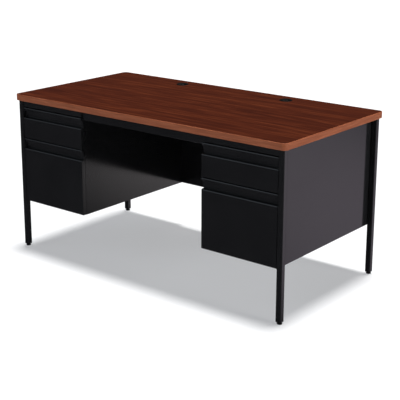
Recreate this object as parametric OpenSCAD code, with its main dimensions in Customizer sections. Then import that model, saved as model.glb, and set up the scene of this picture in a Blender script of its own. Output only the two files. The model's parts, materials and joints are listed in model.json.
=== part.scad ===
// Double pedestal teacher's desk with two box drawers and two file drawers.
// X runs from left to right, Y from front to back and Z up. The origin is on
// the floor, under the middle of the worktop.

/* [Worktop] */
// Length of the worktop from left to right
top_l = 1524; // [1480:1:1600]
// Depth of the worktop from front to back
top_w = 762; // [750:1:800]
// Height of the worktop's upper face above the floor
desk_h = 749.3; // [745:0.1:765]
// Thickness of the worktop with its laminate
top_t = 28.6; // [25:0.1:30]
// Thickness of the laminate sheet on the core
laminate_t = 0.8; // [0.6:0.1:1.5]
// Thickness of the band round the worktop's rim
band_t = 3; // [1:0.5:4]
// Radius of the worktop's corners in plan
corner_r = 22; // [12:1:40]
// How far the worktop overhangs the legs on every side
overhang = 12.7; // [8:0.1:20]

/* [Cable grommets] */
// Distance of each grommet from the middle of the desk
grommet_x = 305; // [200:1:320]
// Distance of the grommets from the rear edge of the worktop
grommet_inset = 83; // [78:1:120]
// Radius of the hole through the worktop
grommet_hole_r = 25.5; // [22:0.5:28]
// Radius of the flange that lies on the worktop
grommet_flange_r = 30; // [30:0.5:34]
// Width of the cable slot in the grommet's cap
cable_slot_w = 14; // [8:1:16]

/* [Legs] */
// Width of the square leg tube
leg_w = 25.4; // [22:0.1:30]
// Wall thickness of the leg tube
leg_wall = 1.6; // [1.2:0.1:2.5]
// Outside radius of the leg tube's corners
leg_corner_r = 4; // [3:0.5:6]
// Height of the leg tube's lower end above the floor
leg_z = 12; // [11:1:20]
// Radius of the levelling glide's base
glide_r = 11; // [9:0.5:13]
// Radius of the levelling glide's stem
glide_stem_r = 4; // [3:0.5:5]

/* [Pedestal cases] */
// Width of the knee space between the two pedestals
knee_w = 688; // [670:1:700]
// Height of the pedestals' lower edge above the floor
case_z = 232; // [225:1:236]
// Thickness of the steel sheet
sheet = 1; // [0.8:0.1:1.2]
// Height of the rail above the upper drawer
top_rail_h = 29.2; // [24:0.1:30]
// Height of the rail over the knee space
knee_rail_h = 43; // [30:1:50]
// Distance of the knee rail's face behind the drawer faces
knee_rail_setback = 12; // [6:1:20]
// Distance of the modesty panel from the worktop's rear edge
modesty_inset = 41; // [39:1:44]

/* [Drawers] */
// Thickness of the sheet that the drawer fronts are formed from
front_sheet = 1.2; // [1:0.1:1.2]
// Depth of the hollow drawer fronts
front_depth = 20; // [19:1:22]
// Height of the rolled lip along the top of a drawer front
lip_h = 13; // [12:1:14]
// Height from the recess's floor to the top of the drawer front
pull_h = 48; // [40:1:50]
// Depth of the recess at its floor
pull_depth = 16; // [12:1:16]
// Radius of the lower edge of the drawer faces
face_edge_r = 3; // [2:0.5:4]
// Radius between a drawer's face and the floor of its recess
ledge_r = 7; // [4:0.5:8]
// Height of the upper drawer's front
box_front_h = 146; // [140:1:146]
// Gap between the two drawer fronts
front_gap = 2.5; // [2:0.5:5]
// Gap between the upper drawer's front and the rail above it
top_gap = 3; // [2:0.5:5]
// Depth of the upper drawer's tub
box_tub_h = 120; // [90:1:120]
// Depth of the file drawer's tub
file_tub_h = 252; // [245:1:256]

/* [Drawer slides] */
// Length of the telescopic slides
slide_l = 600; // [500:10:620]
// Room that a slide takes up between the case and the tub
slide_room = 13.2; // [13.2:0.1:14]
// Height of the slide's outer member
slide_h = 45; // [42:1:50]
// Thickness of the slide's steel
slide_sheet = 1.2; // [1:0.1:1.3]
// Room between two members of a slide for the balls
ball_room = 3.2; // [3:0.1:3.4]

/* [Hidden] */

$fn = 48;
black_steel = [0.08, 0.075, 0.085];
dark_plastic = [0.05, 0.05, 0.05];
zinc = [0.62, 0.63, 0.64];
// A cutter reaches this far past the faces that it cuts
past = 1;

// Worktop
top_z = desk_h - top_t;
core_l = top_l - 2 * band_t;
core_w = top_w - 2 * band_t;
core_corner_r = corner_r - band_t;
grommet_y = top_w / 2 - grommet_inset;

// Grommets
sleeve_r = grommet_hole_r - 0.2;
sleeve_bore_r = sleeve_r - 1.6;
sleeve_flange_t = 1.8;
cap_z = desk_h + sleeve_flange_t + 0.1;
cap_r = grommet_flange_r - 3;
cap_t = 2;
cap_spigot_r = sleeve_bore_r - 0.3;
cap_spigot_t = 1.6;
cap_spigot_h = 9;
cable_slot_x = 9;

// Legs, on the right-hand side: the outer and inner faces and the middle
leg_x1 = top_l / 2 - overhang;
leg_x0 = leg_x1 - leg_w;
leg_cx = leg_x1 - leg_w / 2;
leg_y1 = top_w / 2 - overhang;
leg_cy = leg_y1 - leg_w / 2;
insert_flange = 2;
insert_h = 26;
glide_neck_z = 7.4;
glide_stem_h = 28;

// Case of the right-hand pedestal: outside faces, inside faces and middle
case_x0 = knee_w / 2;
case_x1 = leg_x0;
bay_x0 = case_x0 + sheet;
bay_x1 = case_x1 - sheet;
bay_cx = (bay_x0 + bay_x1) / 2;
bay_half_w = (bay_x1 - bay_x0) / 2;
face_y = -leg_y1 + 2;
case_y0 = face_y + front_depth + 1.3;
case_y1 = leg_y1 - 1.3;
top_flange_w = 20;
bottom_flange_w = 12;
rear_flange_w = 15;

// Drawer fronts
front_x0 = case_x0 + 0.3;
front_x1 = bay_x1 - 2;
front_w = front_x1 - front_x0;
file_front_z = case_z + 1;
box_front_z = top_z - top_rail_h - top_gap - box_front_h;
file_front_h = box_front_z - front_gap - file_front_z;
lip_r = lip_h / 2;
lip_y = lip_r;
recess_top_y = lip_r + 1.5;
seam_flange = 12;
screw_flange = 28;

// Divider rail behind the gap between the two drawer fronts
divider_z0 = box_front_z - front_gap / 2 - 10.5;
divider_z1 = divider_z0 + 21;

// Drawer tubs
tub_half_w = bay_half_w - slide_room;
tub_y0 = face_y + front_depth;
tub_y1 = tub_y0 + slide_l;
tub_sheet = 1;
tub_hem = 5;
// The screw places of the upper drawer's front are shares of this height
box_screws_h = 0.7 * box_tub_h;
box_tub_z = divider_z1 + 1.2;
file_tub_z = case_z + 10;

// Slides
slide_y0 = case_y0 + 2;
box_slide_z = box_tub_z + 0.4 * box_tub_h;
file_slide_z = file_tub_z + 0.63 * file_tub_h;
middle_h = slide_h - 2 * (slide_sheet + ball_room);
inner_h = middle_h - 2 * (slide_sheet + ball_room);

// Folder rails
folder_rail_span = 305;
folder_rail_t = 3;
folder_rail_h = 14;

// Knee rail and modesty panel
knee_rail_y = face_y + knee_rail_setback;
knee_rail_nose_r = 4;
modesty_y = top_w / 2 - modesty_inset;
modesty_flange = 16;

// Fastener places
top_screw_ys = [-250, 0, 250];
top_screw_xs = [-210, 0, 210];
leg_screw_zs = [300, 480, 620];
modesty_screw_zs = [300, 480, 660];
knee_rail_screw_z = top_z - 20;
top_screw_r = 2.2;
leg_screw_r = 3;
frame_screw_r = 2.5;
front_screw_r = 2.5;
screw_clearance = 0.1;
front_screw_inset = 22;

// ---------- shared shapes ----------

// A box between two opposite corners
module block(low, high) {
    translate(low) cube(high - low);
}

// Draws a right-hand piece on the right (1) or mirrored on the left (-1)
module on_side(side) {
    if (side > 0) children();
    else mirror([1, 0, 0]) children();
}

// Draws a piece that is made at the right wall of a drawer bay at both walls
module at_both_walls() {
    for (turn = [0, 1]) translate([bay_cx, 0, 0]) mirror([turn, 0, 0]) children();
}

// An outline with round corners, centred
module rounded_outline(l, w, r) {
    square([l - 2 * r, w], center = true);
    square([l, w - 2 * r], center = true);
    for (x = [-1, 1], y = [-1, 1]) translate([x * (l / 2 - r), y * (w / 2 - r)]) circle(r);
}

// A shaft along X that starts at x and runs in the direction of its length
module x_shaft(x, y, z, r, l) {
    translate([x, y, z]) rotate([0, l > 0 ? 90 : -90, 0]) cylinder(r = r, h = abs(l));
}

// A screw along +Z: its head hangs below the origin
module screw_z(r, l, head_r, head_h) {
    cylinder(r = r, h = l);
    translate([0, 0, -head_h]) cylinder(r = head_r, h = head_h);
}

// ---------- worktop ----------

module grommet_places() {
    for (x = [-grommet_x, grommet_x]) translate([x, grommet_y]) children();
}

module worktop_sheet(z, t) {
    translate([0, 0, z]) linear_extrude(t) difference() {
        rounded_outline(core_l, core_w, core_corner_r);
        grommet_places() circle(grommet_hole_r);
    }
}

module worktop_core() {
    color([0.45, 0.34, 0.22]) worktop_sheet(top_z, top_t - laminate_t);
}

module worktop_laminate() {
    color([0.32, 0.15, 0.09]) worktop_sheet(desk_h - laminate_t, laminate_t);
}

module worktop_edge_band() {
    color([0.5, 0.28, 0.2]) translate([0, 0, top_z]) linear_extrude(top_t) difference() {
        rounded_outline(top_l, top_w, corner_r);
        rounded_outline(core_l, core_w, core_corner_r);
    }
}

// ---------- grommets ----------

module grommet_sleeves() {
    color(dark_plastic) grommet_places() difference() {
        union() {
            translate([0, 0, top_z]) cylinder(r = sleeve_r, h = top_t);
            translate([0, 0, desk_h])
                cylinder(r1 = grommet_flange_r, r2 = grommet_flange_r - 1, h = sleeve_flange_t);
        }
        translate([0, 0, top_z - past]) cylinder(r = sleeve_bore_r, h = top_t + 10);
    }
}

// The cap is a disc with a spigot below it and a cable slot in its right side
module grommet_cap(side) {
    slot_l = cap_r + past - cable_slot_x;
    color(dark_plastic) translate([side * grommet_x, grommet_y, cap_z]) difference() {
        union() {
            cylinder(r1 = cap_r, r2 = cap_r - 1.2, h = cap_t);
            difference() {
                translate([0, 0, -cap_spigot_h]) cylinder(r = cap_spigot_r, h = cap_spigot_h);
                translate([0, 0, -cap_spigot_h - past])
                    cylinder(r = cap_spigot_r - cap_spigot_t, h = cap_spigot_h + past);
            }
        }
        translate([cable_slot_x, -cable_slot_w / 2, -cap_spigot_h - past])
            cube([slot_l, cable_slot_w, cap_spigot_h + cap_t + 2 * past]);
    }
}

// ---------- legs ----------

module at_leg(side, row) {
    translate([side * leg_cx, row * leg_cy]) children();
}

module leg(side, row) {
    bore_w = leg_w - 2 * leg_wall;
    color(black_steel) difference() {
        at_leg(side, row) translate([0, 0, leg_z]) linear_extrude(top_z - leg_z) difference() {
            rounded_outline(leg_w, leg_w, leg_corner_r);
            rounded_outline(bore_w, bore_w, leg_corner_r - leg_wall);
        }
        for (z = leg_screw_zs) x_shaft(
            side * (leg_x0 - past), row * leg_cy, z,
            leg_screw_r + screw_clearance, side * (leg_wall + 2 * past));
    }
}

module leg_inserts() {
    plug_w = leg_w - 2 * leg_wall - 0.4;
    plug_r = leg_corner_r - leg_wall;
    color(dark_plastic) for (side = [-1, 1], row = [-1, 1]) at_leg(side, row) difference() {
        union() {
            translate([0, 0, leg_z - insert_flange]) linear_extrude(insert_flange)
                rounded_outline(leg_w, leg_w, leg_corner_r);
            translate([0, 0, leg_z]) linear_extrude(insert_h) rounded_outline(plug_w, plug_w, plug_r);
        }
        translate([0, 0, leg_z - insert_flange - past])
            cylinder(r = glide_stem_r + 0.05, h = insert_h + insert_flange + 2 * past);
    }
}

// A base that stands on the floor, a hexagon to turn it by and a stem in the leg insert
module glide(side, row) {
    base_h = 5;
    color(dark_plastic) at_leg(side, row) {
        cylinder(r1 = glide_r - 1, r2 = glide_r, h = 1);
        translate([0, 0, 1]) cylinder(r = glide_r, h = base_h - 1);
        translate([0, 0, base_h]) cylinder(r1 = glide_r, r2 = glide_r - 3, h = glide_neck_z - base_h);
        translate([0, 0, glide_neck_z]) cylinder(r = 6.5, h = 2.4, $fn = 6);
        translate([0, 0, glide_neck_z]) cylinder(r = glide_stem_r, h = glide_stem_h);
    }
}

// ---------- pedestal cases ----------

module top_flange_holes(x) {
    for (y = top_screw_ys) translate([x, y, top_z - sheet - past])
        cylinder(r = top_screw_r + screw_clearance, h = sheet + 2 * past);
}

module end_panel(side) {
    color(black_steel) on_side(side) difference() {
        union() {
            block([bay_x1, -case_y1, case_z], [case_x1, case_y1, top_z]);
            block([bay_x1 - top_flange_w, case_y0 + 2, top_z - sheet], [bay_x1, case_y1, top_z]);
            block([bay_x1 - bottom_flange_w, case_y0 + 2, case_z], [bay_x1, case_y1, case_z + sheet]);
            block([bay_x1 - rear_flange_w, case_y1 - sheet, case_z], [bay_x1, case_y1, top_z]);
        }
        top_flange_holes(bay_x1 - top_flange_w / 2);
        for (row = [-1, 1], z = leg_screw_zs)
            x_shaft(bay_x1 - past, row * leg_cy, z, leg_screw_r + screw_clearance, sheet + 2 * past);
    }
}

module inner_panel(side) {
    hole_r = frame_screw_r + screw_clearance;
    color(black_steel) on_side(side) difference() {
        union() {
            block([case_x0, case_y0, case_z], [bay_x0, case_y1, top_z]);
            block([bay_x0, case_y0 + 2, top_z - sheet], [bay_x0 + top_flange_w, case_y1, top_z]);
            block([bay_x0, case_y0 + 2, case_z], [bay_x0 + bottom_flange_w, case_y1, case_z + sheet]);
            block([bay_x0, case_y1 - sheet, case_z], [bay_x0 + rear_flange_w, case_y1, top_z]);
        }
        top_flange_holes(bay_x0 + top_flange_w / 2);
        for (z = modesty_screw_zs)
            x_shaft(case_x0 - past, modesty_y - modesty_flange / 2, z, hole_r, sheet + 2 * past);
        x_shaft(case_x0 - past, case_y0 + 8, knee_rail_screw_z, hole_r, sheet + 2 * past);
    }
}

module case_bottom(side) {
    low = [bay_x0, case_y0 + 2, case_z + sheet];
    color(black_steel) on_side(side) {
        block(low, [bay_x1, case_y1 - sheet, low[2] + sheet]);
        block(low, [bay_x1, low[1] + sheet, file_tub_z - 1.5]);
    }
}

module case_backs() {
    z0 = case_z + 2 * sheet;
    color(black_steel) for (side = [-1, 1]) on_side(side)
        block([bay_x0, case_y1 - 2 * sheet, z0], [bay_x1, case_y1 - sheet, top_z - sheet]);
}

// A hollow rail over the upper drawer, closed at the knee space end
module case_top_rail(side) {
    rail_z = top_z - top_rail_h;
    rail_y = face_y + 2;
    color(black_steel) on_side(side) {
        difference() {
            block([front_x0, rail_y, rail_z], [bay_x1, case_y0, top_z]);
            block([front_x0 + sheet, rail_y + sheet, rail_z + sheet],
                  [bay_x1 + past, case_y0 + past, top_z - sheet]);
        }
    }
}

module divider_rails() {
    rail_y = case_y0 + 1;
    color(black_steel) for (side = [-1, 1]) on_side(side) difference() {
        block([bay_x0, rail_y, divider_z0], [bay_x1, rail_y + 19, divider_z1]);
        block([bay_x0 - past, rail_y + sheet, divider_z0 + sheet],
              [bay_x1 + past, rail_y + 19 + past, divider_z1 - sheet]);
    }
}

// The knee rail's section in the plane of Y and Z: a top flange, a face, a round
// nose along its lower edge and a return
module knee_rail_section() {
    y0 = knee_rail_y;
    z0 = top_z - knee_rail_h;
    nose = knee_rail_nose_r;
    translate([y0, z0 + nose]) square([sheet, knee_rail_h - nose]);
    translate([y0, top_z - sheet]) square([top_flange_w, sheet]);
    translate([y0 + nose, z0]) square([8, sheet]);
    intersection() {
        translate([y0 + nose, z0 + nose]) difference() {
            circle(nose);
            circle(nose - sheet);
        }
        translate([y0, z0]) square(nose);
    }
}

module knee_rail() {
    z0 = top_z - knee_rail_h;
    color(black_steel) difference() {
        union() {
            translate([-case_x0, 0, 0]) rotate([90, 0, 90]) linear_extrude(knee_w) knee_rail_section();
            for (side = [-1, 1]) on_side(side)
                block([case_x0 - sheet, knee_rail_y + sheet, z0 + knee_rail_nose_r],
                      [case_x0, case_y0 + 16, top_z]);
        }
        for (x = top_screw_xs) translate([x, knee_rail_y + top_flange_w / 2, top_z - sheet - past])
            cylinder(r = top_screw_r + screw_clearance, h = sheet + 2 * past);
        for (side = [-1, 1]) on_side(side) x_shaft(
            case_x0 - sheet - past, case_y0 + 8, knee_rail_screw_z,
            frame_screw_r + screw_clearance, sheet + 2 * past);
    }
}

module modesty_panel() {
    y1 = modesty_y;
    y0 = y1 - sheet;
    flange_y0 = y1 - modesty_flange;
    color(black_steel) difference() {
        union() {
            block([-case_x0, y0, case_z], [case_x0, y1, top_z]);
            block([-case_x0, flange_y0, top_z - sheet], [case_x0, y0, top_z]);
            block([-case_x0, y0, case_z], [case_x0, y1 + 10, case_z + sheet]);
            for (side = [-1, 1]) on_side(side)
                block([case_x0 - sheet, flange_y0, case_z], [case_x0, y0, top_z]);
        }
        for (x = top_screw_xs) translate([x, y1 - modesty_flange / 2, top_z - sheet - past])
            cylinder(r = top_screw_r + screw_clearance, h = sheet + 2 * past);
        for (side = [-1, 1], z = modesty_screw_zs) on_side(side) x_shaft(
            case_x0 - sheet - past, y1 - modesty_flange / 2, z,
            frame_screw_r + screw_clearance, sheet + 2 * past);
    }
}

// Rubber discs on the divider rails, two behind each drawer front
module drawer_bumpers() {
    bumper_r = 3.5;
    bumper_y = tub_y0 + 0.1;
    color(dark_plastic) for (side = [-1, 1], wall = [-1, 1], row = [-1, 1])
        translate([
            side * (bay_cx + wall * (bay_half_w - 30)), bumper_y,
            (divider_z0 + divider_z1) / 2 + row * 6
        ])
            rotate([-90, 0, 0]) cylinder(r = bumper_r, h = case_y0 + 1 - bumper_y);
}

// ---------- fasteners ----------

module top_screws() {
    screw_l = 19;
    z = top_z - sheet;
    side_xs = [bay_x1 - top_flange_w / 2, bay_x0 + top_flange_w / 2];
    rail_ys = [knee_rail_y + top_flange_w / 2, modesty_y - modesty_flange / 2];
    color(zinc) {
        for (side = [-1, 1], x = side_xs, y = top_screw_ys)
            translate([side * x, y, z]) screw_z(top_screw_r, screw_l, 4.5, 2.4);
        for (x = top_screw_xs, y = rail_ys)
            translate([x, y, z]) screw_z(top_screw_r, screw_l, 4.5, 2.4);
    }
}

module leg_screws() {
    head_h = 1.2;
    color(zinc) for (side = [-1, 1], row = [-1, 1], z = leg_screw_zs) on_side(side) {
        x_shaft(bay_x1, row * leg_cy, z, leg_screw_r, 7);
        x_shaft(bay_x1, row * leg_cy, z, 6, -head_h);
    }
}

module frame_screws() {
    head_h = 2;
    color(zinc) for (side = [-1, 1]) on_side(side) {
        for (z = modesty_screw_zs) {
            x_shaft(case_x0 - sheet, modesty_y - modesty_flange / 2, z, frame_screw_r, 6);
            x_shaft(case_x0 - sheet, modesty_y - modesty_flange / 2, z, 4.5, -head_h);
        }
        x_shaft(case_x0 - sheet, case_y0 + 8, knee_rail_screw_z, frame_screw_r, 6);
        x_shaft(case_x0 - sheet, case_y0 + 8, knee_rail_screw_z, 4.5, -head_h);
    }
}

// ---------- drawer slides ----------

// A channel along Y at the right wall of the bay. Its web starts at web_x and its two
// flanges run from the web to tip_x, both measured from the middle of the bay.
module slide_channel(web_x, tip_x, h, z) {
    web_x1 = web_x + slide_sheet;
    y1 = slide_y0 + slide_l;
    x0 = min(web_x, tip_x);
    x1 = max(web_x1, tip_x);
    block([web_x, slide_y0, z - h / 2], [web_x1, y1, z + h / 2]);
    block([x0, slide_y0, z - h / 2], [x1, y1, z - h / 2 + slide_sheet]);
    block([x0, slide_y0, z + h / 2 - slide_sheet], [x1, y1, z + h / 2]);
}

module slide_outer_members(side) {
    color(zinc) on_side(side) at_both_walls() for (z = [box_slide_z, file_slide_z])
        slide_channel(bay_half_w - slide_sheet, bay_half_w - 9.9, slide_h, z);
}

module slide_middle_members(side, z) {
    web_x = bay_half_w - 2 * slide_sheet - 1.2;
    color(zinc) on_side(side) at_both_walls()
        slide_channel(web_x, bay_half_w - 11.4, middle_h, z);
}

module slide_inner_members(side, z) {
    color(zinc) on_side(side) at_both_walls()
        slide_channel(tub_half_w, bay_half_w - 5.6, inner_h, z);
}

// ---------- drawers ----------

// Section of a drawer front, filled as far as its open back, with the walls moved in by
// an inset. The first axis runs back from the face and the second one up.
module front_section(h, inset) {
    back = front_depth;
    floor_z = h - pull_h - inset;
    low_r = face_edge_r - inset;
    high_r = ledge_r - inset;
    lip_z = h - lip_r;
    // The face, with its lower and upper edges rounded
    translate([inset + low_r, inset]) square([back - inset - low_r, low_r]);
    translate([inset, inset + low_r]) square([back - inset, floor_z - inset - low_r - high_r]);
    translate([inset + high_r, floor_z - high_r]) square([back - inset - high_r, high_r]);
    translate([inset + low_r, inset + low_r]) circle(low_r);
    translate([inset + high_r, floor_z - high_r]) circle(high_r);
    // The web that slopes forward behind the recess, up to the lip
    polygon([
        [pull_depth + inset, floor_z], [back, floor_z],
        [back, lip_z], [recess_top_y + inset, lip_z]
    ]);
    // The rolled lip and the top
    translate([lip_y, lip_z]) circle(lip_r - inset);
    translate([lip_y, lip_z - (lip_r - inset)]) square([back - lip_y, lip_h - 2 * inset]);
}

// A drawer front formed from sheet, with closed ends and flanges turned in at its back
module drawer_front(z, h) {
    t = front_sheet;
    back = front_depth;
    side_h = h - pull_h - 2;
    translate([front_x0, face_y, z]) {
        rotate([90, 0, 90]) linear_extrude(t) front_section(h, 0);
        translate([front_w - t, 0, 0]) rotate([90, 0, 90]) linear_extrude(t) front_section(h, 0);
        rotate([90, 0, 90]) linear_extrude(front_w) difference() {
            front_section(h, 0);
            front_section(h, t);
            translate([back - 0.01, t]) square([past, h - 2 * t]);
        }
        block([0, back - t, 0], [front_w, back, seam_flange]);
        block([0, back - t, h - seam_flange], [front_w, back, h]);
        for (x = [0, front_w - screw_flange]) block([x, back - t, 0], [x + screw_flange, back, side_h]);
    }
}

// The two screws at each side of a drawer front, as x and z places
function front_screw_places(z, h) = [
    for (x = [front_x0 + front_screw_inset, front_x1 - front_screw_inset + 2], dz = [0.3, 0.8])
        [x, z + dz * h]
];

module front_screw_holes(z, h) {
    for (place = front_screw_places(z, h))
        translate([place[0], tub_y0 - front_sheet - past, place[1]]) rotate([-90, 0, 0])
            cylinder(r = front_screw_r + screw_clearance, h = front_sheet + tub_sheet + 2 * past);
}

module front_screws(side, z, h) {
    color(zinc) on_side(side) for (place = front_screw_places(z, h))
        translate([place[0], tub_y0 + tub_sheet, place[1]]) rotate([90, 0, 0])
            screw_z(front_screw_r, 8, 4.5, 2.2);
}

module box_front(side) {
    color(black_steel) on_side(side) difference() {
        drawer_front(box_front_z, box_front_h);
        front_screw_holes(box_tub_z, box_screws_h);
    }
}

module file_front(side) {
    color(black_steel) on_side(side) difference() {
        drawer_front(file_front_z, file_front_h);
        front_screw_holes(file_tub_z, file_tub_h);
    }
}

// The bottom and the sides of a tub, bent from one sheet, with hems turned in along the top
module drawer_tub(side, z, h) {
    t = tub_sheet;
    x0 = bay_cx - tub_half_w;
    x1 = bay_cx + tub_half_w;
    color(black_steel) on_side(side) {
        difference() {
            block([x0, tub_y0, z], [x1, tub_y1, z + h]);
            block([x0 + t, tub_y0 - past, z + t], [x1 - t, tub_y1 + past, z + h + past]);
        }
        for (x = [x0 + t, x1 - t - tub_hem])
            block([x, tub_y0 + t, z + h - t], [x + tub_hem, tub_y1 - t, z + h]);
    }
}

// The front and back walls of a tub, between its sides. The front one takes the screws.
module drawer_tub_ends(side, z, h, screws_h) {
    t = tub_sheet;
    x0 = bay_cx - tub_half_w + t;
    x1 = bay_cx + tub_half_w - t;
    color(black_steel) on_side(side) {
        difference() {
            block([x0, tub_y0, z + t], [x1, tub_y0 + t, z + h]);
            front_screw_holes(z, screws_h);
        }
        block([x0, tub_y1 - t, z + t], [x1, tub_y1, z + h]);
    }
}

module box_tub_ends(side) {
    drawer_tub_ends(side, box_tub_z, box_tub_h, box_screws_h);
}

module file_tub_ends(side) {
    drawer_tub_ends(side, file_tub_z, file_tub_h, file_tub_h);
}

// Two rails for hanging folders, hooked over the tub's front and back walls
module folder_rails(side) {
    tub_top = file_tub_z + file_tub_h;
    y0 = tub_y0 + tub_sheet;
    y1 = tub_y1 - tub_sheet;
    color(zinc) on_side(side) for (row = [-1, 1]) {
        x0 = bay_cx + row * folder_rail_span / 2 - folder_rail_t / 2;
        block([x0, y0, tub_top - folder_rail_h], [x0 + folder_rail_t, y1, tub_top]);
        block([x0, tub_y0, tub_top], [x0 + folder_rail_t, tub_y1, tub_top + 2]);
    }
}

// ---------- the desk ----------

worktop_core();
worktop_laminate();
worktop_edge_band();
grommet_sleeves();
grommet_cap(-1);  // grommet_cap_left
grommet_cap(1);  // grommet_cap_right
leg(-1, -1);  // leg_front_left
leg(1, -1);  // leg_front_right
leg(-1, 1);  // leg_rear_left
leg(1, 1);  // leg_rear_right
leg_inserts();
glide(-1, -1);  // glide_front_left
glide(1, -1);  // glide_front_right
glide(-1, 1);  // glide_rear_left
glide(1, 1);  // glide_rear_right
end_panel(-1);  // end_panel_left
end_panel(1);  // end_panel_right
inner_panel(-1);  // inner_panel_left
inner_panel(1);  // inner_panel_right
case_bottom(-1);  // case_bottom_left
case_bottom(1);  // case_bottom_right
case_backs();
case_top_rail(-1);  // case_top_rail_left
case_top_rail(1);  // case_top_rail_right
divider_rails();
knee_rail();
modesty_panel();
drawer_bumpers();
top_screws();
leg_screws();
frame_screws();
slide_outer_members(-1);  // slide_outer_members_left
slide_outer_members(1);  // slide_outer_members_right
box_front(-1);  // box_front_left
box_front(1);  // box_front_right
file_front(-1);  // file_front_left
file_front(1);  // file_front_right
drawer_tub(-1, box_tub_z, box_tub_h);  // box_tub_left
drawer_tub(1, box_tub_z, box_tub_h);  // box_tub_right
drawer_tub(-1, file_tub_z, file_tub_h);  // file_tub_left
drawer_tub(1, file_tub_z, file_tub_h);  // file_tub_right
box_tub_ends(-1);  // box_tub_ends_left
box_tub_ends(1);  // box_tub_ends_right
file_tub_ends(-1);  // file_tub_ends_left
file_tub_ends(1);  // file_tub_ends_right
slide_middle_members(-1, box_slide_z);  // box_middle_members_left
slide_middle_members(1, box_slide_z);  // box_middle_members_right
slide_middle_members(-1, file_slide_z);  // file_middle_members_left
slide_middle_members(1, file_slide_z);  // file_middle_members_right
slide_inner_members(-1, box_slide_z);  // box_inner_members_left
slide_inner_members(1, box_slide_z);  // box_inner_members_right
slide_inner_members(-1, file_slide_z);  // file_inner_members_left
slide_inner_members(1, file_slide_z);  // file_inner_members_right
folder_rails(-1);  // folder_rails_left
folder_rails(1);  // folder_rails_right
front_screws(-1, box_tub_z, box_screws_h);  // box_front_screws_left
front_screws(1, box_tub_z, box_screws_h);  // box_front_screws_right
front_screws(-1, file_tub_z, file_tub_h);  // file_front_screws_left
front_screws(1, file_tub_z, file_tub_h);  // file_front_screws_right
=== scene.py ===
"""Looks of a double pedestal teacher's desk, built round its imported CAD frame."""

import json
import math

import bmesh
import bpy
from mathutils import Matrix, Vector


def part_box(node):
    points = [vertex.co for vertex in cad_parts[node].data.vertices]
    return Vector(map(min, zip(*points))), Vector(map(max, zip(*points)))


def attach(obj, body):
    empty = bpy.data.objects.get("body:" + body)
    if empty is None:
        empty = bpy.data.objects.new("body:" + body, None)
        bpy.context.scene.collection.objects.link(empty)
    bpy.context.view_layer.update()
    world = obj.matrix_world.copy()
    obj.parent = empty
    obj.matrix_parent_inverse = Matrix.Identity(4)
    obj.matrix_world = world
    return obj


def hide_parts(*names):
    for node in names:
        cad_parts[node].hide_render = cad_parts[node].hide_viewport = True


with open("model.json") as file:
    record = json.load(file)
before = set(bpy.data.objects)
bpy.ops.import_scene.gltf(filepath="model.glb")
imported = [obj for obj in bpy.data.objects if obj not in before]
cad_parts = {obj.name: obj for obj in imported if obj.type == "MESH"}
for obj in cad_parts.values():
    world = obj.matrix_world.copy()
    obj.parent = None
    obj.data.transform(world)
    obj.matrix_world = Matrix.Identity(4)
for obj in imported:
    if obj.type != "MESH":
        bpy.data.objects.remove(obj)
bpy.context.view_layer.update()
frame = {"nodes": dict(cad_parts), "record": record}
SIDES = ("left", "right")
DRAWERS = ("box", "file")
MM = 0.001
WHITE = (1.0, 1.0, 1.0)

# ---------- shader nodes ----------


def rgba(colour):
    return (*colour, 1.0)


def add_node(tree, kind, settings=None, inputs=None):
    """A new node. An input that is given a socket is linked to it, any other one is set."""
    made = tree.nodes.new(kind)
    for key, value in (settings or {}).items():
        setattr(made, key, value)
    for key, value in (inputs or {}).items():
        if isinstance(value, bpy.types.NodeSocket):
            tree.links.new(value, made.inputs[key])
        else:
            made.inputs[key].default_value = value
    return made


def set_stops(ramp, stops):
    """Gives a colour ramp node its stops of (position, linear colour)."""
    elements = ramp.color_ramp.elements
    while len(elements) < len(stops):
        elements.new(0.5)
    for element, (position, colour) in zip(elements, stops):
        element.position = position
        element.color = rgba(colour)


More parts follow.
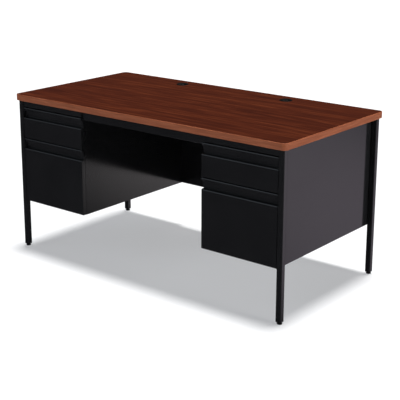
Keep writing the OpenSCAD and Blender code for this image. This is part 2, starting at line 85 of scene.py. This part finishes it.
class Shader:
    """One Principled material, with short calls that add its nodes."""

    def __init__(self, name, **sockets):
        self.material = bpy.data.materials.new(name)
        self.material.use_nodes = True
        self.tree = self.material.node_tree
        self.principled = self.tree.nodes["Principled BSDF"]
        for socket, value in sockets.items():
            self.principled.inputs[socket.replace("_", " ")].default_value = value
        self.object_coords = self.add("ShaderNodeTexCoord").outputs["Object"]

    def add(self, kind, settings=None, inputs=None):
        return add_node(self.tree, kind, settings, inputs)

    def link(self, output, socket):
        """Links an output to a socket of the Principled shader."""
        self.tree.links.new(output, self.principled.inputs[socket])

    def math(self, operation, a, b=0.0, c=0.0):
        return self.add("ShaderNodeMath", {"operation": operation}, {0: a, 1: b, 2: c}).outputs[0]

    def weighted_sum(self, *terms):
        """The sum of values that are given as (value, weight)."""
        value, weight = terms[0]
        total = self.math("MULTIPLY", value, weight)
        for value, weight in terms[1:]:
            total = self.math("MULTIPLY_ADD", value, weight, total)
        return total

    def axes(self, vector):
        """The X, Y and Z of a vector or a colour."""
        return self.add("ShaderNodeSeparateXYZ", None, {0: vector}).outputs

    def scaled(self, vector, scale):
        inputs = {"Vector": vector, "Scale": scale}
        return self.add("ShaderNodeMapping", None, inputs).outputs[0]

    def noise(self, vector, scale, detail=2.0, roughness=0.5, distortion=0.0):
        """Noise from 0 to 1. Scale is cells per metre, one number for each axis."""
        inputs = {
            "Vector": self.scaled(vector, scale),
            "Scale": 1.0,
            "Detail": detail,
            "Roughness": roughness,
            "Distortion": distortion,
        }
        return self.add("ShaderNodeTexNoise", None, inputs).outputs[0]

    def even_noise(self, scale, detail=2.0, roughness=0.5):
        """Noise in the object's coordinates, with the same cells per metre on every axis."""
        return self.noise(self.object_coords, (scale, scale, scale), detail, roughness)

    def ramp(self, factor, stops):
        """A colour ramp through stops of (position, linear colour)."""
        made = self.add("ShaderNodeValToRGB", None, {0: factor})
        set_stops(made, stops)
        return made.outputs[0]

    def remap(self, value, low, high, to_low, to_high):
        """The range from low to high, clamped and carried to the range from to_low to to_high."""
        inputs = {0: value, 1: low, 2: high, 3: to_low, 4: to_high}
        return self.add("ShaderNodeMapRange", None, inputs).outputs[0]

    def mix(self, factor, a, b):
        """Colour a where the factor is 0 and colour b where it is 1."""
        settings = {"data_type": "RGBA", "blend_type": "MIX"}
        return self.add("ShaderNodeMix", settings, {0: factor, 6: a, 7: b}).outputs[2]

    def bump(self, height, strength, distance):
        """Bumps of a height from 0 to 1, which stands for a distance in metres."""
        inputs = {"Height": height, "Strength": strength, "Distance": distance}
        made = self.add("ShaderNodeBump", None, inputs)
        self.link(made.outputs[0], "Normal")


# ---------- materials ----------


def wood_grain(shader, palette, pore_colour):
    """Straight mahogany grain along X, for a printed decor layer."""
    coords = shader.object_coords
    figure = shader.noise(coords, (0.8, 9, 9), detail=2, roughness=0.5, distortion=0.2)
    streak = shader.noise(coords, (4.0, 78, 78), detail=2, roughness=0.6, distortion=0.1)
    fibre = shader.noise(coords, (11, 380, 380), detail=3, roughness=0.6)
    tone = shader.weighted_sum((figure, 0.16), (streak, 0.66), (fibre, 0.18))
    colour = shader.ramp(shader.remap(tone, 0.37, 0.63, 0, 1), palette)
    pore = shader.noise(coords, (46, 1500, 1500), detail=1, roughness=0.5)
    pore_mask = shader.remap(pore, 0.6, 0.72, 0, 0.55)
    return shader.mix(pore_mask, colour, rgba(pore_colour)), fibre, pore_mask


def laminate_material():
    """A mahogany print with open pores under a slight suede texture."""
    shader = Shader("mahogany_laminate", Specular_IOR_Level=0.12)
    palette = [
        (0.0, (0.040, 0.0062, 0.0018)),
        (0.35, (0.054, 0.0089, 0.0025)),
        (0.65, (0.071, 0.0126, 0.0036)),
        (1.0, (0.110, 0.0232, 0.0068)),
    ]
    pore_colour = (0.022, 0.006, 0.0035)
    colour, fibre, pore_mask = wood_grain(shader, palette, pore_colour)
    shader.link(colour, "Base Color")
    shader.link(shader.remap(fibre, 0.2, 0.8, 0.40, 0.50), "Roughness")
    suede = shader.even_noise(700)
    height = shader.math("SUBTRACT", suede, pore_mask)
    shader.bump(height, strength=0.18, distance=0.12 * MM)
    return shader.material


def edge_band_material():
    """The band's grain runs along the rim: x + y changes evenly along every straight side."""
    shader = Shader("edge_band", Specular_IOR_Level=0.2)
    palette = [
        (0.0, (0.217, 0.059, 0.023)),
        (0.4, (0.275, 0.079, 0.033)),
        (0.7, (0.318, 0.094, 0.040)),
        (1.0, (0.395, 0.125, 0.056)),
    ]
    place = shader.axes(shader.object_coords)
    along = shader.math("ADD", place[0], place[1])
    noise_slice = 0.37
    inputs = {0: along, 1: place[2], 2: noise_slice}
    vector = shader.add("ShaderNodeCombineXYZ", None, inputs).outputs[0]
    streak = shader.noise(vector, (9, 210, 1), detail=3, roughness=0.55, distortion=0.2)
    fibre = shader.noise(vector, (60, 1300, 1), detail=2, roughness=0.6)
    tone = shader.weighted_sum((streak, 0.7), (fibre, 0.3))
    colour = shader.ramp(shader.remap(tone, 0.34, 0.66, 0, 1), palette)
    shader.link(colour, "Base Color")
    shader.link(shader.remap(fibre, 0.2, 0.8, 0.38, 0.5), "Roughness")
    shader.bump(fibre, strength=0.2, distance=0.12 * MM)
    return shader.material


# The lowest part of the core that has the backing sheet's colour
BACKING_T = 0.1 * MM


def core_material(underside_z):
    """Particleboard chips, with a brown backing sheet on the underside."""
    shader = Shader("particleboard", Roughness=0.85, Specular_IOR_Level=0.2)
    chip_colours = [
        (0.0, (0.22, 0.13, 0.065)),
        (0.5, (0.36, 0.23, 0.12)),
        (1.0, (0.50, 0.35, 0.20)),
    ]
    backing_colours = [(0.3, (0.060, 0.040, 0.028)), (0.7, (0.085, 0.058, 0.040))]
    inputs = {"Vector": shader.scaled(shader.object_coords, (220, 520, 520)), "Scale": 1.0}
    chips = shader.add("ShaderNodeTexVoronoi", {"feature": "F1"}, inputs)
    wood = shader.ramp(shader.axes(chips.outputs["Color"])[0], chip_colours)
    fibres = shader.even_noise(60, detail=4, roughness=0.65)
    backing = shader.ramp(fibres, backing_colours)
    height = shader.axes(shader.object_coords)[2]
    below = shader.math("LESS_THAN", height, underside_z + BACKING_T)
    shader.link(shader.mix(below, wood, backing), "Base Color")
    shader.bump(fibres, strength=0.2, distance=0.2 * MM)
    return shader.material


def painted_steel_material():
    """Black powder coat: a slight orange peel under a half gloss."""
    shader = Shader("black_powder_coat", Specular_IOR_Level=0.42)
    colours = [(0.3, (0.0078, 0.0080, 0.0088)), (0.7, (0.0112, 0.0114, 0.0124))]
    cloud = shader.even_noise(5, detail=3, roughness=0.6)
    speck = shader.even_noise(2300, detail=1)
    tone = shader.weighted_sum((cloud, 0.85), (speck, 0.15))
    shader.link(shader.ramp(tone, colours), "Base Color")
    shader.link(shader.remap(cloud, 0.25, 0.75, 0.12, 0.15), "Roughness")
    peel = shader.even_noise(420, detail=2, roughness=0.45)
    shader.bump(peel, strength=0.10, distance=0.08 * MM)
    return shader.material


def zinc_material():
    """Zinc-plated strip: rolling streaks along Y and a cloudy passivation."""
    shader = Shader("zinc_plated_steel", Metallic=1.0)
    colours = [(0.3, (0.36, 0.37, 0.38)), (0.7, (0.60, 0.61, 0.61))]
    rolled = shader.noise(shader.object_coords, (900, 9, 900), detail=3, roughness=0.6)
    cloud = shader.even_noise(26, detail=3, roughness=0.6)
    tone = shader.weighted_sum((cloud, 0.55), (rolled, 0.45))
    shader.link(shader.ramp(tone, colours), "Base Color")
    shader.link(shader.remap(rolled, 0.25, 0.75, 0.30, 0.46), "Roughness")
    shader.bump(rolled, strength=0.12, distance=0.05 * MM)
    return shader.material


def plastic_material():
    """Moulded black plastic with a spark-eroded texture."""
    shader = Shader("moulded_plastic", Specular_IOR_Level=0.12)
    colours = [(0.3, (0.0052, 0.0046, 0.0044)), (0.7, (0.0075, 0.0068, 0.0065))]
    spark = shader.even_noise(1700, detail=2, roughness=0.6)
    cloud = shader.even_noise(60)
    shader.link(shader.ramp(cloud, colours), "Base Color")
    shader.link(shader.remap(spark, 0.3, 0.7, 0.42, 0.56), "Roughness")
    shader.bump(spark, strength=0.25, distance=0.08 * MM)
    return shader.material


def rubber_material():
    """Matt black rubber with a fine grain."""
    shader = Shader("rubber", Specular_IOR_Level=0.25)
    colours = [(0.3, (0.010, 0.010, 0.010)), (0.7, (0.020, 0.020, 0.020))]
    grain = shader.even_noise(1200, detail=3, roughness=0.6)
    shader.link(shader.ramp(grain, colours), "Base Color")
    shader.link(shader.remap(grain, 0.3, 0.7, 0.75, 0.9), "Roughness")
    shader.bump(grain, strength=0.3, distance=0.1 * MM)
    return shader.material


CORE_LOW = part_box("worktop_core")[0]
LAMINATE = laminate_material()
BAND = edge_band_material()
CORE = core_material(CORE_LOW.z)
STEEL = painted_steel_material()
ZINC = zinc_material()
PLASTIC = plastic_material()
RUBBER = rubber_material()

# A node has the material of the first prefix that fits, or else it is painted steel
MATERIAL_OF_PREFIX = {
    "worktop_core": CORE,
    "worktop_laminate": LAMINATE,
    "worktop_edge_band": BAND,
    "grommet": PLASTIC,
    "leg_inserts": PLASTIC,
    "glide": PLASTIC,
    "drawer_bumpers": RUBBER,
    "leg_screws": ZINC,
    "top_screws": ZINC,
    "box_front_screws": ZINC,
    "file_front_screws": ZINC,
    "slide_": ZINC,
    "box_middle": ZINC,
    "file_middle": ZINC,
    "box_inner": ZINC,
    "file_inner": ZINC,
    "folder_rails": ZINC,
}
BODY_OF_NODE = {
    node: body
    for body, nodes in frame["record"]["behaviour"]["bodies"].items()
    for node in nodes
}


def by_prefix(table, name, default):
    """The value of the first prefix in a table that a name starts with."""
    return next((value for prefix, value in table.items() if name.startswith(prefix)), default)


def material_for(name):
    return by_prefix(MATERIAL_OF_PREFIX, name, STEEL)


for node_name, cad_object in frame["nodes"].items():
    cad_object.data.materials.clear()
    cad_object.data.materials.append(material_for(node_name))

# ---------- shared mesh code ----------

# Edges that turn by more than this stay sharp
SMOOTH_ANGLE = math.radians(35)
MERGE_DISTANCE = 0.001 * MM
# Signs of X and Y for the four corners of a rectangle, in order round it
QUADRANTS = ((-1, -1), (1, -1), (1, 1), (-1, 1))


def stand_for(piece, node):
    """The piece takes a CAD node's place, body and material."""
    material = material_for(node)
    piece.data.materials.clear()
    piece.data.materials.append(material)
    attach(piece, BODY_OF_NODE[node])
    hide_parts(node)


def welded_copy(node):
    """A bmesh of a CAD node, with the vertices joined that lie in one place."""
    bm = bmesh.new()
    bm.from_mesh(frame["nodes"][node].data)
    bmesh.ops.remove_doubles(bm, verts=bm.verts, dist=MERGE_DISTANCE)
    return bm


def object_from(bm, name):
    """A mesh object from a bmesh, with its normals turned out."""
    bmesh.ops.recalc_face_normals(bm, faces=bm.faces)
    mesh = bpy.data.meshes.new(name)
    bm.to_mesh(mesh)
    bm.free()
    made = bpy.data.objects.new(name, mesh)
    bpy.context.scene.collection.objects.link(made)
    return made


def apply_modifiers(piece):
    bpy.context.view_layer.update()
    final = piece.evaluated_get(bpy.context.evaluated_depsgraph_get())
    mesh = bpy.data.meshes.new_from_object(final)
    mesh.name = piece.name
    piece.modifiers.clear()
    piece.data = mesh


def shade(piece):
    """Smooth shading, but for sharp edges, with flat faces kept flat by weighted normals."""
    mesh = piece.data
    mesh.polygons.foreach_set("use_smooth", [True] * len(mesh.polygons))
    mesh.set_sharp_from_angle(angle=SMOOTH_ANGLE)
    modifier = piece.modifiers.new("weighted_normals", "WEIGHTED_NORMAL")
    modifier.keep_sharp = True
    modifier.weight = 100
    apply_modifiers(piece)


def bridge(bm, ring, following):
    """Faces between two closed rings. A ring of one vertex closes the end."""
    count = max(len(ring), len(following))
    for i in range(count):
        j = (i + 1) % count
        if len(ring) == 1:
            bm.faces.new((ring[0], following[j], following[i]))
        elif len(following) == 1:
            bm.faces.new((ring[i], ring[j], following[0]))
        else:
            bm.faces.new((ring[i], ring[j], following[j], following[i]))


def add_block(bm, low_points, high_points):
    """A six-sided block between two rings of four points."""
    rings = [[bm.verts.new(p) for p in points] for points in (low_points, high_points)]
    bridge(bm, *rings)
    for ring in rings:
        bm.faces.new(ring)


# ---------- worktop edge band ----------

# The radius of the worktop's corners, as in the CAD
BAND_CORNER_R = 22 * MM
BAND_CORNER_STEPS = 14
BAND_EASED_R = 1.4 * MM
BAND_EASED_STEPS = 5
BAND_BROKEN = 0.25 * MM


def rounded_ring(low, high, inset, z):
    """Points round the band's outline, moved in by an inset."""
    reach = BAND_CORNER_R - inset
    corner_centres = (
        (high.x - BAND_CORNER_R, high.y - BAND_CORNER_R),
        (low.x + BAND_CORNER_R, high.y - BAND_CORNER_R),
        (low.x + BAND_CORNER_R, low.y + BAND_CORNER_R),
        (high.x - BAND_CORNER_R, low.y + BAND_CORNER_R),
    )
    points = []
    for quarter, (x, y) in enumerate(corner_centres):
        for step in range(BAND_CORNER_STEPS + 1):
            turn = math.pi / 2 * (quarter + step / BAND_CORNER_STEPS)
            points.append((x + reach * math.cos(turn), y + reach * math.sin(turn), z))
    return points


def quarter_round(radius, steps):
    """Points of an eased edge as (inset, distance from the face that it meets)."""
    turns = [math.pi / 2 * step / steps for step in range(steps + 1)]
    return [(radius * (1 - math.cos(t)), radius * (1 - math.sin(t))) for t in turns]


def make_edge_band():
    """The band, with its two outer edges eased and its inner corners just broken."""
    low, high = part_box("worktop_edge_band")
    thickness = CORE_LOW.x - low.x
    eased = quarter_round(BAND_EASED_R, BAND_EASED_STEPS)
    profile = [(thickness, low.z + BAND_BROKEN), (thickness - BAND_BROKEN, low.z)]
    profile += [(inset, low.z + rise) for inset, rise in reversed(eased)]
    profile += [(inset, high.z - drop) for inset, drop in eased]
    profile += [(thickness - BAND_BROKEN, high.z), (thickness, high.z - BAND_BROKEN)]
    bm = bmesh.new()
    rings = [[bm.verts.new(p) for p in rounded_ring(low, high, *point)] for point in profile]
    for ring, following in zip(rings, rings[1:] + rings[:1]):
        bridge(bm, ring, following)
    piece = object_from(bm, "worktop_edge_band_eased")
    shade(piece)
    stand_for(piece, "worktop_edge_band")


# ---------- screws ----------

# Shares of the head's radius and height, from the middle of its crown to its underside
HEAD_OUTLINE = ((0, 1), (0.45, 1), (0.72, 0.93), (0.90, 0.72), (0.98, 0.42), (1, 0.15), (0.97, 0))
HEAD_STEPS = 24
THREAD_PITCH = 0.8 * MM
# In pitches: where the thread starts from the head, and how much of a shaft has none at least
THREAD_START = 0.4
UNTHREADED = 1.5
# Shares of the shaft's radius
THREAD_ROOT = 0.86
TIP = 0.45
# The recess: shares of the head's radius and height
RECESS_HALF_WIDTH = 0.13
RECESS_HALF_LENGTH = 0.52
RECESS_DEPTH = 0.62
# How far the cutter starts before the head, as a share of its depth, and its two scales
CUTTER_LEAD = 0.3
CUTTER_MOUTH = 1.12
CUTTER_END = 0.62
SPIN_BETWEEN_SCREWS = math.radians(37)


def lathed(bm, profile, steps):
    """Turns (radius, height) points about Z. A point on the axis closes the end."""
    turns = [2 * math.pi * step / steps for step in range(steps)]
    rings = []
    for radius, height in profile:
        points = [(radius * math.cos(t), radius * math.sin(t), height) for t in turns]
        if radius == 0:
            points = [(0, 0, height)]
        rings.append([bm.verts.new(p) for p in points])
    for ring, following in zip(rings, rings[1:]):
        bridge(bm, ring, following)


def cross_cutter(half_width, half_length, depth, z):
    """A tapered cross that cuts a driver's recess upwards from z."""
    bm = bmesh.new()
    ends = ((z - CUTTER_LEAD * depth, CUTTER_MOUTH), (z + depth, CUTTER_END))
    for half_x, half_y in ((half_length, half_width), (half_width, half_length)):
        rings = [
            [(sx * half_x * scale, sy * half_y * scale, height) for sx, sy in QUADRANTS]
            for height, scale in ends
        ]
        add_block(bm, *rings)
    return object_from(bm, "cross_cutter")


def screw_mesh(shaft_r, shaft_l, head_r, head_h):
    """A pan head screw along +Z with its head below the origin, as in the CAD."""
    head = [(r * head_r, -h * head_h) for r, h in HEAD_OUTLINE] + [(shaft_r, 0)]
    turns = int((shaft_l - UNTHREADED * THREAD_PITCH) / THREAD_PITCH)
    root_r = THREAD_ROOT * shaft_r
    thread = []
    for turn in range(turns):
        start = (turn + THREAD_START) * THREAD_PITCH
        thread += [(root_r, start), (shaft_r, start + 0.5 * THREAD_PITCH)]
    tip_z = (turns + THREAD_START) * THREAD_PITCH
    tip = [(root_r, tip_z), (TIP * shaft_r, shaft_l), (0, shaft_l)]
    bm = bmesh.new()
    lathed(bm, head + thread + tip, HEAD_STEPS)
    screw = object_from(bm, "screw_template")
    cutter = cross_cutter(
        RECESS_HALF_WIDTH * head_r, RECESS_HALF_LENGTH * head_r, RECESS_DEPTH * head_h, -head_h
    )
    cut = screw.modifiers.new("recess", "BOOLEAN")
    cut.operation = "DIFFERENCE"
    cut.solver = "EXACT"
    cut.use_self = True
    cut.object = cutter
    apply_modifiers(screw)
    mesh = screw.data
    bpy.data.objects.remove(screw)
    bpy.data.objects.remove(cutter)
    return mesh


def connected_to(start, unseen):
    """The vertices joined to a first one by edges. They are taken out of the unseen set,
    and the list grows while it is gone through."""
    found = [start]
    for vert in found:
        for edge in vert.link_edges:
            other = edge.other_vert(vert)
            if other in unseen:
                unseen.remove(other)
                found.append(other)
    return found


def solid_boxes(node):
    """The box of each separate solid in a CAD node."""
    bm = welded_copy(node)
    unseen = set(bm.verts)
    boxes = []
    while unseen:
        solid = connected_to(unseen.pop(), unseen)
        spans = [[v.co[axis] for v in solid] for axis in range(3)]
        low = Vector([min(span) for span in spans])
        boxes.append((low, Vector([max(span) for span in spans])))
    bm.free()
    return sorted(boxes, key=lambda box: tuple(round(value, 5) for value in box[0]))


def make_screws(node, direction_of, shaft_r, head_h):
    """Detailed screws in the places of a CAD node's screws. The direction of a screw is
    where its shaft points, worked out from the low corner of its box."""
    bm = bmesh.new()
    mesh = None
    for number, (low, high) in enumerate(solid_boxes(node)):
        direction = direction_of(low)
        axis = max(range(3), key=lambda i: abs(direction[i]))
        across = (axis + 1) % 3
        if mesh is None:
            head_r = (high[across] - low[across]) / 2
            mesh = screw_mesh(shaft_r, high[axis] - low[axis] - head_h, head_r, head_h)
        place = (low + high) / 2
        head_end = low[axis] if direction[axis] > 0 else high[axis]
        place[axis] = head_end + head_h * direction[axis]
        turn = direction.to_track_quat("Z", "Y").to_matrix().to_4x4()
        spin = Matrix.Rotation(SPIN_BETWEEN_SCREWS * number, 4, "Z")
        before = len(bm.verts)
        bm.from_mesh(mesh)
        bm.verts.ensure_lookup_table()
        matrix = Matrix.Translation(place) @ turn @ spin
        bmesh.ops.transform(bm, matrix=matrix, verts=bm.verts[before:])
    piece = object_from(bm, node + "_cross_head")
    shade(piece)
    stand_for(piece, node)


# Directions of a screw's shaft, from the low corner of the screw's box
def up(low):
    return Vector((0, 0, 1))


def forward(low):
    return Vector((0, -1, 0))


def outward(low):
    return Vector((1, 0, 0)) if low.x > 0 else Vector((-1, 0, 0))


# ---------- ball cages of the slides ----------

BALL_R = 1.45 * MM
BALL_COUNT = 14
BALL_PITCH = 15 * MM
# Places of the balls, from the middle member's edge and from its web
BALL_FROM_EDGE = 1.6 * MM
BALL_FROM_WEB = 4.6 * MM
STRIP_T = 0.5 * MM
STRIP_HALF_H = 0.55 * MM
STRIP_GAP = 0.1 * MM
# From a cage's front end to the member's rear end, as a share of the member's length
CAGE_REACH = 0.42


def add_box(bm, low, high):
    """A box between two opposite corners."""
    outline = ((low[0], low[1]), (high[0], low[1]), (high[0], high[1]), (low[0], high[1]))
    add_block(bm, *[[(x, y, z) for x, y in outline] for z in (low[2], high[2])])


def slide_runs(node):
    """The box of each channel in a slide node, and whether it is the one further to +X."""
    centre = sum(corner.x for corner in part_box(node)) / 2
    return [(low, high, (low.x + high.x) / 2 > centre) for low, high in solid_boxes(node)]


def add_ball_cage(bm, x, start, z):
    """A row of balls along Y, between two strips."""
    for number in range(BALL_COUNT):
        place = Vector((x, start + (number + 0.5) * BALL_PITCH, z))
        bmesh.ops.create_icosphere(
            bm, subdivisions=2, radius=BALL_R, matrix=Matrix.Translation(place)
        )
    end = start + BALL_COUNT * BALL_PITCH
    for dx in (-1, 1):
        near_x = x + dx * (BALL_R + STRIP_GAP)
        strip_low_x, strip_high_x = sorted((near_x, near_x + dx * STRIP_T))
        low = (strip_low_x, start, z - STRIP_HALF_H)
        add_box(bm, low, (strip_high_x, end, z + STRIP_HALF_H))


def make_ball_cages(node, name):
    """The cages that run between the middle members in a node and their neighbours."""
    bm = bmesh.new()
    for low, high, on_right in slide_runs(node):
        x = high.x - BALL_FROM_WEB if on_right else low.x + BALL_FROM_WEB
        start = high.y - CAGE_REACH * (high.y - low.y)
        for z in (low.z - BALL_FROM_EDGE, high.z + BALL_FROM_EDGE):
            add_ball_cage(bm, x, start, z)
    piece = object_from(bm, name)
    piece.data.materials.append(ZINC)
    shade(piece)
    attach(piece, BODY_OF_NODE[node])


# ---------- softened pieces ----------

# Edges that turn by more than the crease angle are rounded, and those that turn by less than
# the flat angle are dissolved first
CREASE_ANGLE = math.radians(28)
FLAT_ANGLE = math.radians(0.5)
BEVEL_SEGMENTS = 2
SHEET_BEVEL = 0.35 * MM
BEVEL_OF_PREFIX = {
    "grommet": 0.6 * MM,
    "glide": 0.6 * MM,
    "leg_inserts": 0.5 * MM,
    "drawer_bumpers": 0.8 * MM,
}


def make_softened(node):
    """A copy of a CAD node with its bends and cut edges rounded."""
    bm = welded_copy(node)
    bmesh.ops.dissolve_limit(bm, angle_limit=FLAT_ANGLE, verts=bm.verts, edges=bm.edges)
    creases = [
        edge for edge in bm.edges
        if edge.is_manifold and edge.calc_face_angle() > CREASE_ANGLE
    ]
    bmesh.ops.bevel(
        bm,
        geom=creases,
        offset=by_prefix(BEVEL_OF_PREFIX, node, SHEET_BEVEL),
        offset_type="OFFSET",
        segments=BEVEL_SEGMENTS,
        profile=0.5,
        affect="EDGES",
        clamp_overlap=False,
    )
    piece = object_from(bm, node + "_formed")
    shade(piece)
    stand_for(piece, node)


# ---------- all pieces ----------

make_edge_band()
for side in SIDES:
    for drawer in DRAWERS:
        make_ball_cages(f"{drawer}_middle_members_{side}", f"{drawer}_ball_cages_{side}")

# Shaft radius and head height, as in the CAD
make_screws("top_screws", up, 2.2 * MM, 2.4 * MM)
make_screws("leg_screws", outward, 3.0 * MM, 1.2 * MM)
make_screws("frame_screws", outward, 2.5 * MM, 2.0 * MM)
for side in SIDES:
    for drawer in DRAWERS:
        make_screws(f"{drawer}_front_screws_{side}", forward, 2.5 * MM, 2.2 * MM)

for node_name in frame["nodes"]:
    if not node_name.startswith("worktop") and "screws" not in node_name:
        make_softened(node_name)

# ---------- stage, lights and camera ----------

FLOOR_REACH = 60
FLOOR_COLOURS = [(0.0, (0.88, 0.88, 0.88)), (1.0, (0.92, 0.92, 0.92))]
# What the floor throws back on the desk
FLOOR_BOUNCE = (0.75, 0.75, 0.75)
FLOOR_WHITE = (0.985, 0.995, 1.02)
FLOOR_WHITE_SHARE = 0.40

WORLD_BASE = (0.014, 0.016, 0.018)
# Each area's direction, the degrees off it where its fade begins and ends, and its colour.
# The photograph's view sees the first two reflected in the end panel and the left inner panel.
WORLD_AREAS = [
    ((0.511, 0.806, -0.299), 3.7, 7.2, (0.74, 0.64, 0.75)),
    ((0.643, 0.734, -0.220), 1, 6.6, (1.55, 1.46, 1.48)),
    ((0.00, 0.00, -1.00), 78, 89, (0.030, 0.026, 0.031)),
    ((-0.50, -0.72, 0.44), 10, 26, (0.90, 1.02, 1.15)),
    ((-0.85, 0.40, -0.35), 10, 34, (0.22, 0.21, 0.23)),
    ((1.00, -0.15, -0.20), 8, 34, (0.12, 0.11, 0.12)),
]

# Name, place that the light comes from, energy and angular size in degrees
SUNS = [
    ("overhead", (0, 0.4, 5), 4.0, 10),
    ("side", (5, 0.6, 0.7), 1.95, 25),
    ("front", (-1.2, -5, 0.7), 0.3, 25),
]

CAMERA_PLACE = (2.8330, -3.4919, 1.6866)
CAMERA_PITCH = math.radians(75.413)
CAMERA_YAW = math.radians(38.612)
CAMERA_ROLL = math.radians(0.169)
CAMERA_SENSOR_MM = 36
CAMERA_LENS_MM = 91.55
CAMERA_SHIFT = -0.12
CAMERA_RANGE = (0.05, 200)


def make_floor():
    """A pale floor. Where the camera sees it, a share of even white keeps its shadow pale."""
    mesh = bpy.data.meshes.new("floor")
    corners = [(x * FLOOR_REACH, y * FLOOR_REACH, 0) for x, y in QUADRANTS]
    mesh.from_pydata(corners, [], [(0, 1, 2, 3)])
    floor = bpy.data.objects.new("floor", mesh)
    bpy.context.scene.collection.objects.link(floor)
    floor.visible_glossy = False
    shader = Shader("pale_floor", Roughness=1.0, Specular_IOR_Level=0.0)
    colour = shader.ramp(shader.even_noise(3), FLOOR_COLOURS)
    seen = shader.add("ShaderNodeLightPath").outputs["Is Camera Ray"]
    shader.link(shader.mix(seen, rgba(FLOOR_BOUNCE), colour), "Base Color")
    white = shader.add("ShaderNodeEmission", None, {0: rgba(FLOOR_WHITE), 1: 1.0})
    share = shader.math("MULTIPLY", seen, FLOOR_WHITE_SHARE)
    inputs = {0: share, 1: shader.principled.outputs[0], 2: white.outputs[0]}
    both = shader.add("ShaderNodeMixShader", None, inputs)
    output = shader.tree.nodes["Material Output"]
    shader.tree.links.new(both.outputs[0], output.inputs["Surface"])
    mesh.materials.append(shader.material)


def make_world():
    """A dim studio with soft bright areas. What the camera sees directly is plain white."""
    world = bpy.data.worlds.new("studio")
    bpy.context.scene.world = world
    world.use_nodes = True
    tree = world.node_tree
    direction = add_node(tree, "ShaderNodeTexCoord").outputs["Generated"]
    total = rgba(WORLD_BASE)
    for centre, inner, outer, colour in WORLD_AREAS:
        inputs = {0: direction, 1: Vector(centre).normalized()}
        towards = add_node(tree, "ShaderNodeVectorMath", {"operation": "DOT_PRODUCT"}, inputs)
        ramp = add_node(tree, "ShaderNodeValToRGB", None, {0: towards.outputs["Value"]})
        ramp.color_ramp.interpolation = "EASE"
        rim, heart = math.cos(math.radians(outer)), math.cos(math.radians(inner))
        set_stops(ramp, [(rim, (0, 0, 0)), (heart, colour)])
        settings = {"data_type": "RGBA", "blend_type": "ADD"}
        inputs = {0: 1.0, 6: total, 7: ramp.outputs[0]}
        total = add_node(tree, "ShaderNodeMix", settings, inputs).outputs[2]
    seen = add_node(tree, "ShaderNodeLightPath").outputs["Is Camera Ray"]
    inputs = {0: seen, 6: total, 7: rgba(WHITE)}
    mix = add_node(tree, "ShaderNodeMix", {"data_type": "RGBA"}, inputs)
    tree.links.new(mix.outputs[2], tree.nodes["Background"].inputs["Color"])


def make_sun(name, place, energy, size):
    """A sun that shines from a place towards the origin."""
    data = bpy.data.lights.new(name, "SUN")
    data.energy = energy
    data.angle = math.radians(size)
    sun = bpy.data.objects.new(name, data)
    sun.location = place
    aim = Vector((0, 0, 0)) - Vector(place)
    sun.rotation_euler = aim.to_track_quat("-Z", "Y").to_euler()
    bpy.context.scene.collection.objects.link(sun)


def make_camera():
    """The photograph's camera: aimed by pitch and yaw, then rolled about its own axis."""
    data = bpy.data.cameras.new("camera")
    data.sensor_width = CAMERA_SENSOR_MM
    data.lens = CAMERA_LENS_MM
    data.shift_y = CAMERA_SHIFT
    data.clip_start, data.clip_end = CAMERA_RANGE
    camera = bpy.data.objects.new("camera", data)
    camera.location = CAMERA_PLACE
    aim = Matrix.Rotation(CAMERA_YAW, 4, "Z") @ Matrix.Rotation(CAMERA_PITCH, 4, "X")
    camera.rotation_euler = (aim @ Matrix.Rotation(CAMERA_ROLL, 4, "Z")).to_euler()
    bpy.context.scene.collection.objects.link(camera)
    bpy.context.scene.camera = camera


make_floor()
make_world()
for sun_values in SUNS:
    make_sun(*sun_values)
make_camera()
bpy.context.scene.view_settings.view_transform = "Standard"
